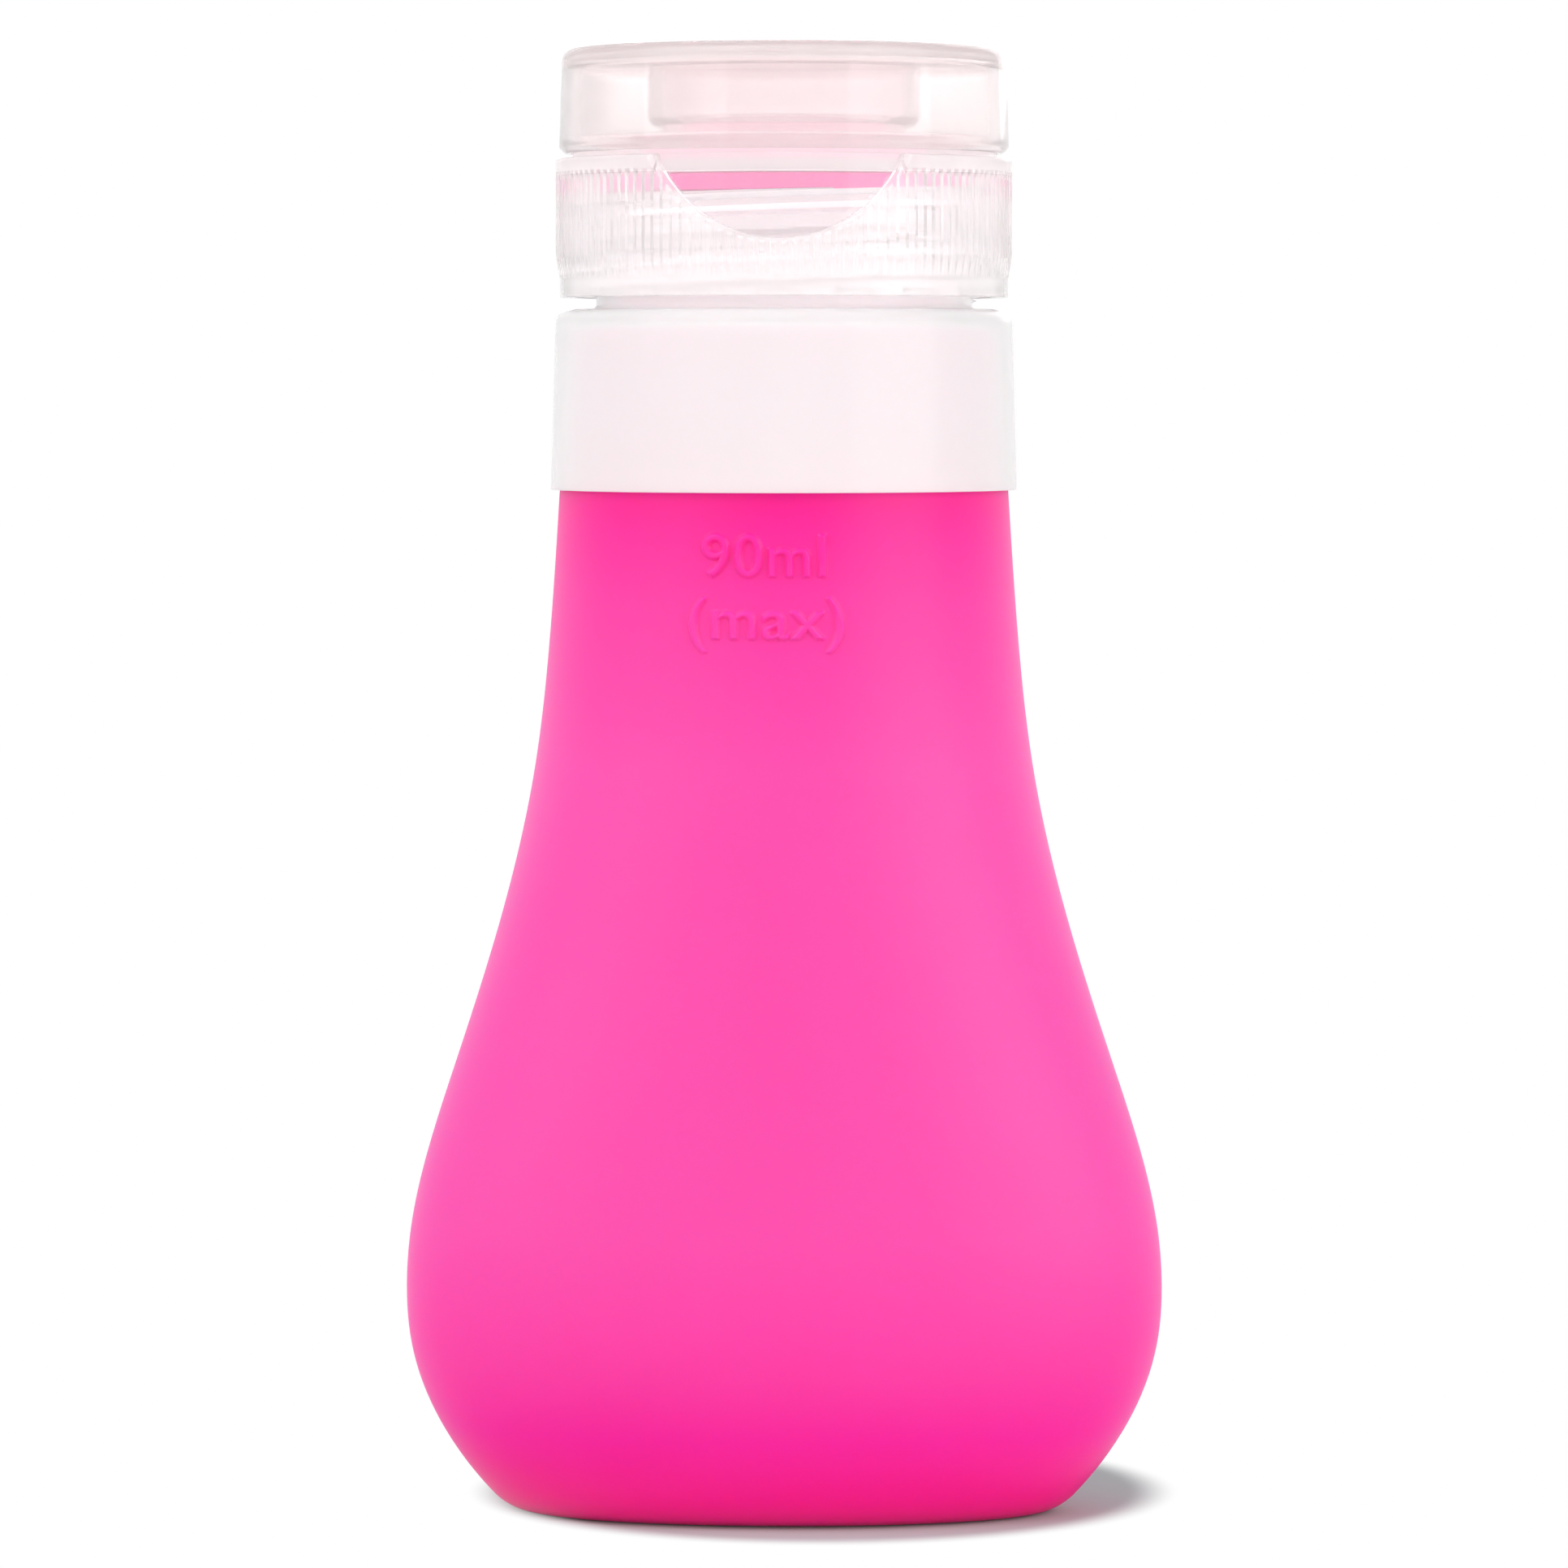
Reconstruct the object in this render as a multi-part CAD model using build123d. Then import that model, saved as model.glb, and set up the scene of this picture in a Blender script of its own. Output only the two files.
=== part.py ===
# Soft squeeze bottle for travel: a pear-shaped silicone body with an oval base, a stiff threaded
# collar round its neck, and a ribbed screw cap with a flip lid, a film hinge and a drip-stop valve.
#
# Frame: +Z up, origin on the floor at the middle of the base, +X across the wide side,
# front (thumb notch) towards -Y, lid hinge towards +Y. All lengths in millimetres.
from build123d import *
import os
from math import sin, radians

# Silicone body, from the floor to the rim of the collar
body_height = 84.15
belly_height = 18.4
belly_width = 62.2
belly_depth = 33.4
base_width = 45.0
base_depth = 22.3
base_edge_radius = 5.0
base_recess_depth = 0.6
base_rim_width = 5.0
silicone_wall = 2.0
silicone_floor = 2.4

# Below the belly the outline swells from the base oval by 1 - (1 - share) ** belly_roundness_share
belly_roundness_share = 2.2
lower_height_shares = (0.0, 0.14, 0.32, 0.55, 0.8, 1.0)

# Above the belly: height share, then how much of the narrowing to the shoulder is done there
upper_narrowing_shares = (
    (0.08, 0.031),
    (0.17, 0.134),
    (0.28, 0.313),
    (0.40, 0.514),
    (0.52, 0.690),
    (0.65, 0.833),
    (0.80, 0.927),
)

# Stiff collar: a neck that carries the thread, a ledge round it and a tapered skirt whose rim
# stands out past the body's shoulder
collar_height = 14.7
collar_ledge = 3.3
collar_taper = 0.425
collar_overhang = 0.725
collar_wall = 1.1
collar_deck = 1.2
collar_corner_radius = 0.95
neck_diameter = 30.7
neck_wall = 1.3
neck_height = 9.35
neck_root_radius = 0.4

# Silicone neck inside the collar, with its lip folded over the neck's rim
neck_silicone_wall = 1.6
lip_thickness = 1.45
lip_edge_radius = 0.4
shoulder_rounding = 1.2
silicone_fit_gap = 0.06

# Ribbed screw cap, with room for the thread between its bore and the neck
cap_gap = 0.95
thread_room = 1.98
cap_height = 11.3
cap_wall = 1.3
cap_band_step = 0.33
cap_band_height = 1.4
cap_taper_height = 2.0
cap_rim_height = 1.1
rib_count = 132
rib_depth = 0.3
rib_share = 0.52
seal_gap = 0.1
cap_ledge = 1.3
boss_height = 1.73
boss_edge_radius = 0.4
top_plate = 1.2

# Thumb notch in the front of the ribs
notch_radius = 10.95
notch_drop = 6.74
notch_depth = 0.73

# The valve's socket over the mouth, the orifice in its roof, and the spout round the orifice
socket_margin = 0.79
flange_grip = 3.3
spout_seat = 0.7
spout_height = 1.77
spout_wall = 1.0

# Drip-stop valve: a clamped flange, a sleeve and a dished head cut by a cross slit
valve_flange = 0.8
valve_sleeve_wall = 0.9
valve_rise = 1.2
valve_dish = 0.9
valve_skin = 0.5
slit_length = 7.0
slit_width = 0.12
valve_fit_gap = 0.1

# Snap ring that holds the valve up in its socket
ring_thickness = 0.9
ring_clearance = 0.1
ring_chamfer = 0.25
running_gap = 0.05

# Flip lid
lid_gap = 0.4
lid_height = 8.6
lid_setback = 0.28
lid_taper = 0.25
lid_wall = 0.8
lid_roof = 1.2
lid_corner_radius = 0.8
lid_chamfer = 0.5
lid_bead_height = 0.5
lid_fit_gap = 0.1
plug_wall = 0.95
plug_fit_gap = 0.15
plug_reach = 0.8
plug_taper = 0.6

# Film hinge at the back, on a flat pad of the cap and one of the lid
hinge_width = 8.0
hinge_film = 0.35
hinge_groove = 0.15
hinge_hold = 0.6
pad_margin = 0.5
pad_height = 2.2
pad_proud = 0.1

# One overrun for all cuts
overrun = 1.0

# Heights and radii that follow from the sizes above
collar_top = body_height + collar_height
deck_underside = collar_top - collar_deck
neck_rim = collar_top + neck_height
lip_top = neck_rim + silicone_fit_gap + lip_thickness
neck_radius = neck_diameter / 2
neck_bore_radius = neck_radius - neck_wall
silicone_neck_radius = neck_bore_radius - silicone_fit_gap
mouth_radius = silicone_neck_radius - neck_silicone_wall
collar_top_radius = neck_radius + collar_ledge
collar_bottom_radius = collar_top_radius + collar_taper
shoulder_diameter = 2 * (collar_bottom_radius - collar_overhang)
cap_bottom = collar_top + cap_gap
cap_top = cap_bottom + cap_height
cap_bore_radius = neck_radius + thread_room
cap_radius = cap_bore_radius + cap_wall
seal_land = lip_top + seal_gap
boss_radius = cap_radius - cap_ledge
boss_top = cap_top + boss_height
plate_underside = boss_top - top_plate
socket_radius = mouth_radius - socket_margin
orifice_radius = socket_radius - flange_grip
spout_radius = orifice_radius + spout_seat + spout_wall
spout_top = boss_top + spout_height
flange_underside = plate_underside - valve_flange
lid_bottom = cap_top + lid_gap
lid_top = lid_bottom + lid_height
lid_bottom_radius = cap_radius - lid_setback
lid_top_radius = lid_bottom_radius - lid_taper
roof_underside = lid_top - lid_roof
pad_face = cap_radius + pad_proud
pad_width = hinge_width + 2 * pad_margin
hinge_height = cap_top + lid_gap / 2


def outline(points):
    """Closed face in the XZ plane through (radius, height) points."""
    return make_face(Polyline([(r, 0, z) for r, z in points], close=True))


def turned(points):
    """Solid of revolution about the bottle's axis."""
    return revolve(outline(points), Axis.Z)


def rounded(points, corners):
    """Solid of revolution whose named corners, as (radius, height, rounding), are rounded."""
    face = outline(points)
    for r, z, rounding in corners:
        corner = [v for v in face.vertices() if (v - Vertex(r, 0, z)).center().length < rounding / 10]
        face = fillet(corner, rounding)
    return revolve(face, Axis.Z)


def body_stations():
    """Height, width and depth of the oval at each station of the silicone body."""
    stations = []
    for share in lower_height_shares:
        swell = 1 - (1 - share) ** belly_roundness_share
        width = base_width + (belly_width - base_width) * swell
        depth = base_depth + (belly_depth - base_depth) * swell
        stations.append((belly_height * share, width, depth))
    upper_height = body_height - belly_height
    for share, narrowing in upper_narrowing_shares:
        width = belly_width + (shoulder_diameter - belly_width) * narrowing
        depth = belly_depth + (shoulder_diameter - belly_depth) * share
        stations.append((belly_height + upper_height * share, width, depth))
    stations.append((body_height, shoulder_diameter, shoulder_diameter))
    return stations


def pear_form(inset, floor):
    """The body's closed form, drawn in by an inset, standing on a floor height."""
    ovals = []
    for height, width, depth in body_stations():
        level = floor + height * (body_height - floor) / body_height
        ovals.append(Plane.XY.offset(level) * Ellipse(width / 2 - inset, depth / 2 - inset))
    return loft(ovals)


def bottle_body():
    """Silicone body: hollow pear with an oval base, and a neck whose lip folds over the collar."""
    outer = pear_form(0, 0)
    foot = outer.edges().sort_by(Axis.Z)[0]
    outer = fillet(foot, base_edge_radius)
    recess = extrude(Ellipse(base_width / 2 - base_rim_width, base_depth / 2 - base_rim_width),
                     base_recess_depth)
    body = outer - pear_form(silicone_wall, silicone_floor) - recess

    seat_bottom = collar_bottom_radius - collar_wall - silicone_fit_gap
    seat_top = collar_top_radius - collar_wall - silicone_fit_gap
    shoulder = deck_underside - silicone_fit_gap
    inside = shoulder_diameter / 2 - silicone_wall
    lip_bottom = neck_rim + silicone_fit_gap
    neck = rounded(
        [
            (inside, body_height),
            (seat_bottom, body_height),
            (seat_top, shoulder),
            (silicone_neck_radius, shoulder),
            (silicone_neck_radius, lip_bottom),
            (neck_radius, lip_bottom),
            (neck_radius, lip_top),
            (mouth_radius, lip_top),
            (mouth_radius, shoulder - neck_silicone_wall),
            (inside, shoulder - silicone_wall - shoulder_rounding),
        ],
        [
            (seat_top, shoulder, shoulder_rounding),
            (neck_radius, lip_top, lip_edge_radius),
            (mouth_radius, lip_top, lip_edge_radius),
        ],
    )
    return body + neck


def threaded_collar():
    """Stiff collar: tapered skirt, deck and neck in one moulding."""
    return rounded(
        [
            (collar_bottom_radius, body_height),
            (collar_top_radius, collar_top),
            (neck_radius, collar_top),
            (neck_radius, neck_rim),
            (neck_bore_radius, neck_rim),
            (neck_bore_radius, deck_underside),
            (collar_top_radius - collar_wall, deck_underside),
            (collar_bottom_radius - collar_wall, body_height),
        ],
        [
            (collar_top_radius, collar_top, collar_corner_radius),
            (neck_radius, collar_top, neck_root_radius),
        ],
    )


def hinge_pad(bottom, inner_face):
    """Flat pad at the back that one end of the film hinge lies on."""
    depth = pad_face - inner_face
    pad = Box(pad_width, depth, pad_height, align=(Align.CENTER, Align.MIN, Align.MIN))
    return Pos(0, inner_face, bottom) * pad


def rib_grooves():
    """The grooves that leave the cap's ribs standing."""
    root = cap_radius - rib_depth
    pitch = 2 * root * sin(radians(180 / rib_count))
    groove_bottom = cap_bottom + cap_band_height
    groove_top = cap_top - cap_rim_height
    groove = Box(rib_depth + overrun, pitch * (1 - rib_share), groove_top - groove_bottom,
                 align=(Align.MIN, Align.CENTER, Align.MIN))
    return [Pos(0, 0, groove_bottom) * place * groove for place in PolarLocations(root, rib_count)]


def thumb_notch():
    """Round-bottomed pocket in the front of the skirt."""
    reach = cap_radius + overrun
    centre = cap_top - notch_drop + notch_radius
    drum = Pos(0, -reach / 2, centre) * Rot(90, 0, 0) * Cylinder(notch_radius, reach)
    band = Cylinder(reach, cap_height, align=(Align.CENTER, Align.CENTER, Align.MIN))
    core = Cylinder(cap_radius - notch_depth, cap_height, align=(Align.CENTER, Align.CENTER, Align.MIN))
    return drum & (Pos(0, 0, cap_bottom) * (band - core))


def cap_base():
    """Screw cap: ribbed skirt with a thumb notch, sealing land, boss, spout and valve socket."""
    band_radius = cap_radius - cap_band_step
    band_top = cap_bottom + cap_band_height
    form = rounded(
        [
            (band_radius, cap_bottom),
            (band_radius, band_top),
            (cap_radius, band_top + cap_taper_height),
            (cap_radius, cap_top),
            (boss_radius, cap_top),
            (boss_radius, boss_top),
            (spout_radius, boss_top),
            (spout_radius, spout_top),
            (spout_radius - spout_wall, spout_top),
            (spout_radius - spout_wall, boss_top),
            (orifice_radius, boss_top),
            (orifice_radius, plate_underside),
            (socket_radius, plate_underside),
            (socket_radius, seal_land),
            (cap_bore_radius, seal_land),
            (cap_bore_radius, cap_bottom),
        ],
        [
            (boss_radius, boss_top, boss_edge_radius),
            (spout_radius, spout_top, spout_wall / 3),
            (spout_radius - spout_wall, spout_top, spout_wall / 3),
        ],
    )
    pad = hinge_pad(cap_top - pad_height, cap_bore_radius + cap_wall / 4)
    return form - rib_grooves() - thumb_notch() + pad


def flip_lid():
    """Lid: flat roof, thin tapered skirt with a snap bead, and a plug ring that seals the spout."""
    bottom = lid_bottom_radius
    top = lid_top_radius
    bead = boss_radius + lid_fit_gap
    plug_inside = spout_radius + plug_fit_gap
    plug_outside = plug_inside + plug_wall
    plug_bottom = spout_top - plug_reach
    form = rounded(
        [
            (0, lid_top),
            (top, lid_top),
            (bottom, lid_bottom + lid_chamfer),
            (bottom - lid_chamfer, lid_bottom),
            (bead, lid_bottom),
            (bead, lid_bottom + lid_bead_height),
            (bottom - lid_wall, lid_bottom + 2 * lid_bead_height),
            (top - lid_wall, roof_underside),
            (plug_outside, roof_underside),
            (plug_outside, plug_bottom + plug_taper),
            (plug_outside - plug_wall / 2, plug_bottom),
            (plug_inside, plug_bottom),
            (plug_inside, roof_underside),
            (0, roof_underside),
        ],
        [(top, lid_top, lid_corner_radius)],
    )
    return form + hinge_pad(lid_bottom, bottom - lid_wall * 3 / 4)


def living_hinge():
    """Film hinge: a thin strip on both pads, thinned along its bending line."""
    low = hinge_height - lid_gap / 2 - hinge_hold
    high = hinge_height + lid_gap / 2 + hinge_hold
    outer = pad_face + hinge_film
    section = [
        (pad_face, low),
        (outer, low),
        (outer, high),
        (pad_face, high),
        (pad_face, hinge_height + lid_gap / 2),
        (pad_face + hinge_groove, hinge_height),
        (pad_face, hinge_height - lid_gap / 2),
    ]
    strip = make_face(Polyline([(0, y, z) for y, z in section], close=True))
    return extrude(strip, hinge_width / 2, dir=(1, 0, 0), both=True)


def drip_valve():
    """Silicone valve: flange, sleeve and a dished head that a cross slit opens."""
    sleeve = orifice_radius - valve_fit_gap
    inside = sleeve - valve_sleeve_wall
    flange = socket_radius - valve_fit_gap
    head = boss_top + valve_rise
    bowl = head - valve_dish
    top = ThreePointArc((0, 0, bowl), (inside / 2, 0, bowl + valve_dish / 4), (inside, 0, head))
    under = ThreePointArc((inside, 0, head - valve_skin),
                          (inside / 2, 0, bowl + valve_dish / 4 - valve_skin),
                          (0, 0, bowl - valve_skin))
    wall = Polyline((inside, 0, head), (sleeve, 0, head), (sleeve, 0, plate_underside),
                    (flange, 0, plate_underside), (flange, 0, flange_underside),
                    (inside, 0, flange_underside), (inside, 0, head - valve_skin))
    axis = Line((0, 0, bowl - valve_skin), (0, 0, bowl))
    valve = revolve(make_face([top, wall, under, axis]), Axis.Z)
    slit = Pos(0, 0, bowl) * Box(slit_length, slit_width, valve_rise + valve_dish)
    return valve - slit - Rot(0, 0, 90) * slit


def valve_retainer():
    """Snap ring under the valve's flange, chamfered to lead into the socket."""
    top = flange_underside - running_gap
    bottom = top - ring_thickness
    outer = socket_radius - running_gap
    bore = orifice_radius + ring_clearance
    return turned(
        [
            (bore, top),
            (bore, bottom),
            (outer - ring_chamfer, bottom),
            (outer, bottom + ring_chamfer),
            (outer, top),
        ]
    )


nodes = {
    "bottle_body": bottle_body,
    "threaded_collar": threaded_collar,
    "cap_base": cap_base,
    "flip_lid": flip_lid,
    "living_hinge": living_hinge,
    "drip_valve": drip_valve,
    "valve_retainer": valve_retainer,
}

os.makedirs("parts", exist_ok=True)
for name, make in nodes.items():
    export_step(make(), f"parts/{name}.step")
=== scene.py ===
"""Looks of a soft travel squeeze bottle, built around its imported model.

The bottle is a pink silicone pear on an oval base, held at its neck by a milky threaded collar.
A clear screw cap with a flip lid closes it. Lengths in the classes are millimetres; meshes are
written in metres. The front, with the thumb notch, faces -Y and the lid's hinge is at +Y. A field
named hair is a breadth just large enough to tell rows of points apart.
"""

import logging
import math
from dataclasses import dataclass, fields
from enum import Enum
from typing import Callable, NamedTuple, Sequence

import bpy
import numpy as np
from bpy.types import Material, Node, NodeSocket, NodeTree, Object
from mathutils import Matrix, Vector
from mathutils.bvhtree import BVHTree
from mathutils.kdtree import KDTree


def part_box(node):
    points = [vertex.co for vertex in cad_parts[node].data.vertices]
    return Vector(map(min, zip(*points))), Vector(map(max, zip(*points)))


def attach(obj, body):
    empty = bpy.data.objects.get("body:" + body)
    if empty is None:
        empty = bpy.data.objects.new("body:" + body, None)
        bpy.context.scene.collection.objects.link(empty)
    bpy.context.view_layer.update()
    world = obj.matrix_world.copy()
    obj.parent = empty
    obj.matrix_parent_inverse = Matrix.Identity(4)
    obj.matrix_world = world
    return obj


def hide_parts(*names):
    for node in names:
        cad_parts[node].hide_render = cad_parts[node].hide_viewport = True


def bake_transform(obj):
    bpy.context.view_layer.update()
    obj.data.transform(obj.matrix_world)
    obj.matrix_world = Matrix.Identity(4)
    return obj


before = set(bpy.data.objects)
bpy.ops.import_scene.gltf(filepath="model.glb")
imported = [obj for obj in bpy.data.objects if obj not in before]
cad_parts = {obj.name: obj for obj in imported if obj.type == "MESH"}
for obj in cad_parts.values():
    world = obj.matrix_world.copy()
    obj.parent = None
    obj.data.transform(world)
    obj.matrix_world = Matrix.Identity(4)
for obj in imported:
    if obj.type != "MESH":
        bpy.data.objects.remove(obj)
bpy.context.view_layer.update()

MM = 0.001
SHARP_ANGLE = math.radians(40)
WHITE = "#ffffff"
# Sockets of Blender's Mix node when it mixes colours.
MIX_SHARE, MIX_FIRST, MIX_SECOND, MIX_RESULT = 0, 6, 7, 2
log = logging.getLogger("travel_bottle")

Array = np.ndarray
Shaper = Callable[[Array, Array, Array], tuple[Array, Array]]


class Body(Enum):
    """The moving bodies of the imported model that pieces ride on."""

    BOTTLE = "bottle"
    CAP_LIFT = "cap_lift"
    CAP = "cap"
    LID = "lid"


class Slot(Enum):
    """Material slots of the record."""

    SILICONE = "silicone"
    MILKY = "milky_polypropylene"
    CLEAR = "clear_polypropylene"


class CapFace(Enum):
    """Kinds of faces on the screw cap, in the order of its materials."""

    SKIRT = 0
    PLATE = 1
    EDGE = 2
    NOTCH = 3


class LidFace(Enum):
    """Kinds of faces on the lid, in the order of its materials."""

    SKIRT = 0
    ROOF = 1
    RING = 2


class Corner(NamedTuple):
    """A corner of a turned outline: radius, height and how far it is rounded, in millimetres."""

    radius: float
    height: float
    rounding: float = 0.0


class Oval(NamedTuple):
    """A level oval of a skin: half width, half depth and height, in millimetres."""

    half_width: float
    half_depth: float
    height: float


class Span(NamedTuple):
    """Lowest and highest point of a node, in millimetres."""

    low: float
    high: float


@dataclass(frozen=True)
class Heights:
    """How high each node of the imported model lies."""

    bottle_body: Span
    threaded_collar: Span
    cap_base: Span
    flip_lid: Span
    living_hinge: Span
    drip_valve: Span
    valve_retainer: Span

    @classmethod
    def from_frame(cls) -> "Heights":
        """Reads each node's box."""
        boxes = (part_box(node.name) for node in fields(cls))
        return cls(*(Span(low.z / MM, high.z / MM) for low, high in boxes))


def rounded_outline(corners: Sequence[Corner], steps: int = 5) -> Array:
    """Rounds the corners of a closed outline with short curves.

    Args:
        corners: The outline's corners in order.
        steps: Points on each rounded corner.

    Returns:
        Radius and height of each point, one row each, in millimetres.
    """
    points: list[Array] = []
    count = len(corners)
    for index, corner in enumerate(corners):
        here = np.array(corner[:2])
        before = np.array(corners[index - 1][:2]) - here
        after = np.array(corners[(index + 1) % count][:2]) - here
        reach = min(corner.rounding, np.hypot(*before) / 2, np.hypot(*after) / 2)
        if reach <= 0:
            points.append(here)
            continue
        start = here + before / np.hypot(*before) * reach
        end = here + after / np.hypot(*after) * reach
        for t in np.linspace(0, 1, steps):
            points.append((1 - t) ** 2 * start + 2 * t * (1 - t) * here + t * t * end)
    return np.array(points)


def divided(points: Array, longest: float, closed: bool = True) -> Array:
    """Divides the upright runs of an outline.

    Args:
        points: The outline's points, one row each.
        longest: The longest upright run that stays whole, in millimetres.
        closed: True where the last point joins the first.

    Returns:
        The outline with the added points.
    """
    rows: list[Array] = []
    ends = np.roll(points, -1, axis=0)
    for index, (start, end) in enumerate(zip(points, ends)):
        across, up = np.abs(end - start)
        last = index == len(points) - 1 and not closed
        parts = 1 if last or across > up else max(1, math.ceil(up / longest))
        rows.extend(start + (end - start) * k / parts for k in range(parts))
    return np.array(rows)


def add_object(name: str, data: bpy.types.ID | None) -> Object:
    """Adds an object to the scene.

    Args:
        name: The object's name.
        data: The mesh, curve, light or camera that it holds.

    Returns:
        The new object.
    """
    added = bpy.data.objects.new(name, data)
    bpy.context.scene.collection.objects.link(added)
    return added


def mesh_from_rings(name: str, rings: Array, closed: bool) -> Object:
    """Joins rings of points into one skin.

    Args:
        name: The piece's name.
        rings: Array of shape (rings, points, 3), in metres.
        closed: True joins the last ring to the first; False closes each end with one point.

    Returns:
        The new object, smooth apart from its sharp corners.
    """
    count, around = rings.shape[:2]
    vertices = rings.reshape(-1, 3)
    grid = np.arange(count * around).reshape(count, around)
    following = np.roll(grid, -1, axis=1)
    lower, upper = (grid, np.roll(grid, -1, axis=0)) if closed else (grid[:-1], grid[1:])
    lower_next = following if closed else following[:-1]
    upper_next = np.roll(following, -1, axis=0) if closed else following[1:]
    quads = np.stack([lower, lower_next, upper_next, upper], axis=-1).reshape(-1, 4)
    faces = quads.tolist()
    if not closed:
        ends = rings[[0, -1]].mean(axis=1)
        vertices = np.vstack([vertices, ends])
        first, last = count * around, count * around + 1
        faces += [(first, b, a) for a, b in zip(grid[0], following[0])]
        faces += [(last, a, b) for a, b in zip(grid[-1], following[-1])]
    mesh = bpy.data.meshes.new(name)
    mesh.from_pydata(vertices.tolist(), [], faces)
    mesh.validate()
    mesh.polygons.foreach_set("use_smooth", np.ones(len(mesh.polygons), dtype=bool))
    mesh.set_sharp_from_angle(angle=SHARP_ANGLE)
    piece = add_object(name, mesh)
    face_outwards(piece)
    return piece


def face_outwards(piece: Object) -> None:
    """Turns a closed mesh's faces outwards if its volume comes out negative.

    Args:
        piece: The piece to check.
    """
    mesh = piece.data
    mesh.calc_loop_triangles()
    corners = np.empty(len(mesh.vertices) * 3)
    mesh.vertices.foreach_get("co", corners)
    corners = corners.reshape(-1, 3)
    triangles = np.empty(len(mesh.loop_triangles) * 3, dtype=int)
    mesh.loop_triangles.foreach_get("vertices", triangles)
    a, b, c = (corners[triangles.reshape(-1, 3)[:, k]] for k in range(3))
    if np.einsum("ij,ij->", a, np.cross(b, c)) < 0:
        mesh.flip_normals()


def turned(
    name: str,
    outline: Array,
    angles: Array,
    shaper: Shaper | None = None,
    closed: bool = True,
) -> Object:
    """Turns an outline about the bottle's axis.

    Args:
        name: The piece's name.
        outline: Radius and height of each point, in millimetres.
        angles: Angles of the points on each ring, rising.
        shaper: Changes radius and height by angle, for ribs, threads and pads.
        closed: False where the outline starts and ends on the axis.

    Returns:
        The new object.
    """
    angle, radius = np.meshgrid(angles, outline[:, 0])
    height = np.repeat(outline[:, 1][:, None], len(angles), axis=1)
    if shaper:
        radius, height = shaper(angle, radius, height)
    rings = np.stack([radius * np.cos(angle), radius * np.sin(angle), height], axis=-1) * MM
    return mesh_from_rings(name, rings, closed)


def even_angles(count: int) -> Array:
    """Evenly spaced angles, from -pi up to pi."""
    return np.linspace(-math.pi, math.pi, count, endpoint=False)


def cut_away(piece: Object, cutters: Sequence[Object]) -> None:
    """Cuts solids out of a piece and removes them.

    Args:
        piece: The piece to cut.
        cutters: The solids to take away.
    """
    for cutter in cutters:
        cut = piece.modifiers.new("cut", "BOOLEAN")
        cut.object = cutter
        cut.solver = "EXACT"
    graph = bpy.context.evaluated_depsgraph_get()
    mesh = bpy.data.meshes.new_from_object(piece.evaluated_get(graph))
    piece.modifiers.clear()
    piece.data = mesh
    for cutter in cutters:
        bpy.data.objects.remove(cutter)


def smoothstep(value: Array, low: float, high: float) -> Array:
    """Rises smoothly from 0 where value is low to 1 where it is high."""
    t = np.clip((value - low) / (high - low), 0, 1)
    return t * t * (3 - 2 * t)


def natural_spline(knots: Sequence[float], values: Sequence[float], at: Array) -> Array:
    """Smooth curve through points, with no bend at its ends.

    Args:
        knots: Where the points are, rising.
        values: The points' values.
        at: Where to read the curve.

    Returns:
        The curve's values there.
    """
    x, y = np.asarray(knots, float), np.asarray(values, float)
    h = np.diff(x)
    size = len(x)
    system = np.eye(size)
    right = np.zeros(size)
    for k in range(1, size - 1):
        system[k, k - 1 : k + 2] = h[k - 1], 2 * (h[k - 1] + h[k]), h[k]
        right[k] = 6 * ((y[k + 1] - y[k]) / h[k] - (y[k] - y[k - 1]) / h[k - 1])
    bend = np.linalg.solve(system, right)
    k = np.clip(np.searchsorted(x, at) - 1, 0, size - 2)
    left, rest = at - x[k], x[k + 1] - at
    curve = (bend[k] * rest**3 + bend[k + 1] * left**3) / (6 * h[k])
    straight = (y[k] / h[k] - bend[k] * h[k] / 6) * rest + (y[k + 1] / h[k] - bend[k + 1] * h[k] / 6) * left
    return curve + straight


def linear(hex_colour: str) -> tuple[float, float, float, float]:
    """Turns an sRGB hex colour to linear light.

    Args:
        hex_colour: A colour such as "#ff0090".

    Returns:
        Red, green, blue and an alpha of 1.
    """
    parts = [int(hex_colour[k : k + 2], 16) / 255 for k in (1, 3, 5)]
    light = [p / 12.92 if p <= 0.04045 else ((p + 0.055) / 1.055) ** 2.4 for p in parts]
    return (*light, 1.0)


def add_node(tree: NodeTree, kind: str, inputs: dict[str | int, object] | None = None,
             **settings: str) -> Node:
    """Adds a shader node, sets it and links it.

    Args:
        tree: The node tree.
        kind: The node's type without its prefix, such as "TexNoise".
        inputs: Values or output sockets for its inputs, by name or index.
        **settings: Properties of the node itself.

    Returns:
        The new node.
    """
    node = tree.nodes.new(f"ShaderNode{kind}")
    for key, value in settings.items():
        setattr(node, key, value)
    for key, value in (inputs or {}).items():
        if isinstance(value, NodeSocket):
            tree.links.new(value, node.inputs[key])
        else:
            node.inputs[key].default_value = value
    return node


def new_material(name: str) -> tuple[Material, NodeTree, Node]:
    """Makes an empty material with an output node.

    Args:
        name: The material's name.

    Returns:
        The material, its node tree and its output node.
    """
    material = bpy.data.materials.new(name)
    material.use_nodes = True
    tree = material.node_tree
    tree.nodes.clear()
    return material, tree, add_node(tree, "OutputMaterial")


class Pattern(NamedTuple):
    """Even noise: the size of its spots in millimetres, and how much finer detail it has."""

    size: float
    detail: float


class Tone(NamedTuple):
    """A colour at a height of the bottle, in millimetres."""

    height: float
    colour: str


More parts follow.
